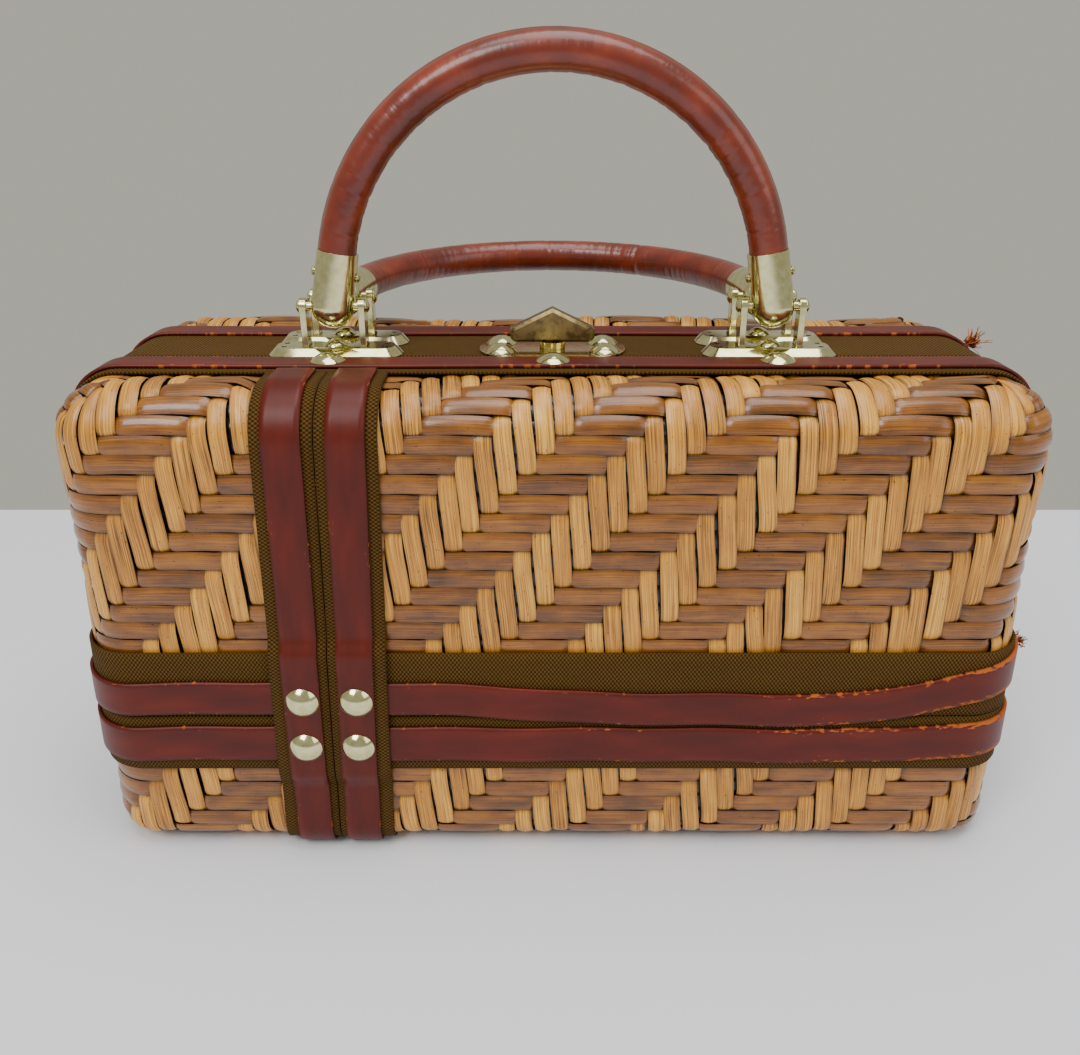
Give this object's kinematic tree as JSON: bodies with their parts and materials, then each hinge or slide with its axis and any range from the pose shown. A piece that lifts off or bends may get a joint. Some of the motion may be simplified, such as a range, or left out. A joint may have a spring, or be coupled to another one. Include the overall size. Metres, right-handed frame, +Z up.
{
  "type": "basket box bag",
  "caption": "Stiff woven cane box handbag that opens like a clam on a base hinge, with leather straps, swing handles and a turn lock.",
  "frame": {"origin": "on the table, at the middle of the woven box's base", "axes": "+X along the bag to its right, +Y towards its back, +Z up"},
  "size_m": [0.324, 0.1564, 0.2684],
  "materials": {
    "woven_cane": "split cane, brown strands varnished, light strands bare",
    "olive_webbing": "ribbed cotton webbing",
    "oxblood_leather": "glazed oxblood leather",
    "lining_cloth": "plain woven lining",
    "bent_wood": "bent wood hoop",
    "pale_gilt_brass": "pale gilt, polished and lightly scratched",
    "yellow_brass": "polished brass",
    "antique_brass": "dark antique brass",
    "plain_steel": "plain steel",
    "handle_filler": "plain"
  },
  "bodies": {
    "back_half": {"back_belt_leather_lower": "oxblood_leather", "back_belt_leather_upper": "oxblood_leather", "back_belt_webbing_lower": "olive_webbing", "back_belt_webbing_upper": "olive_webbing", "back_hinge_leaves": "plain_steel", "back_lining": "lining_cloth", "back_rim_frame": "bent_wood", "back_rim_leather": "oxblood_leather", "back_rim_webbing": "olive_webbing", "back_shell": "woven_cane", "handle_bracket_back_left": "pale_gilt_brass", "handle_bracket_back_right": "pale_gilt_brass", "handle_bracket_front_left": "pale_gilt_brass", "handle_bracket_front_right": "pale_gilt_brass", "handle_plate_back_left": "pale_gilt_brass", "handle_plate_back_right": "pale_gilt_brass", "handle_plate_front_left": "pale_gilt_brass", "handle_plate_front_right": "pale_gilt_brass", "hinge_pins": "plain_steel", "lock_plate": "pale_gilt_brass", "lock_rivets": "pale_gilt_brass", "pivot_pins": "pale_gilt_brass", "plate_rivets": "pale_gilt_brass"},
    "front_half": {"front_belt_leather_lower": "oxblood_leather", "front_belt_leather_upper": "oxblood_leather", "front_belt_webbing_lower": "olive_webbing", "front_belt_webbing_upper": "olive_webbing", "front_crossing_studs": "pale_gilt_brass", "front_hinge_leaves": "plain_steel", "front_lining": "lining_cloth", "front_rim_frame": "bent_wood", "front_rim_leather": "oxblood_leather", "front_rim_webbing": "olive_webbing", "front_shell": "woven_cane", "front_strap_leather_left": "oxblood_leather", "front_strap_leather_right": "oxblood_leather", "front_strap_webbing_left": "olive_webbing", "front_strap_webbing_right": "olive_webbing", "lock_keeper": "plain_steel", "rim_studs": "pale_gilt_brass"},
    "front_handle": {"front_ferrule_left": "pale_gilt_brass", "front_ferrule_right": "pale_gilt_brass", "front_ferrule_rivets": "pale_gilt_brass", "front_handle_core": "handle_filler", "front_handle_cover": "oxblood_leather"},
    "back_handle": {"back_ferrule_left": "pale_gilt_brass", "back_ferrule_right": "pale_gilt_brass", "back_ferrule_rivets": "pale_gilt_brass", "back_handle_core": "handle_filler", "back_handle_cover": "oxblood_leather"},
    "lock_knob": {"lock_cam": "plain_steel", "lock_knob": "antique_brass", "lock_spindle": "yellow_brass"}
  },
  "joints": [
    {"name": "shell_hinge", "type": "hinge", "parent": "back_half", "child": "front_half", "pos_m": [0, -0.0135, 0.0019], "axis": [1, 0, 0], "range_deg": [0, 80]},
    {"name": "front_handle_swing", "type": "hinge", "parent": "back_half", "child": "front_handle", "pos_m": [0, -0.0095, 0.186], "axis": [1, 0, 0], "range_deg": [0, 88]},
    {"name": "back_handle_swing", "type": "hinge", "parent": "back_half", "child": "back_handle", "pos_m": [0, 0.0075, 0.186], "axis": [1, 0, 0], "range_deg": [0, 88]},
    {"name": "lock_turn", "type": "hinge", "parent": "back_half", "child": "lock_knob", "pos_m": [0, -0.005, 0.172], "axis": [0, 0, 1], "range_deg": [0, 90]}
  ]
}
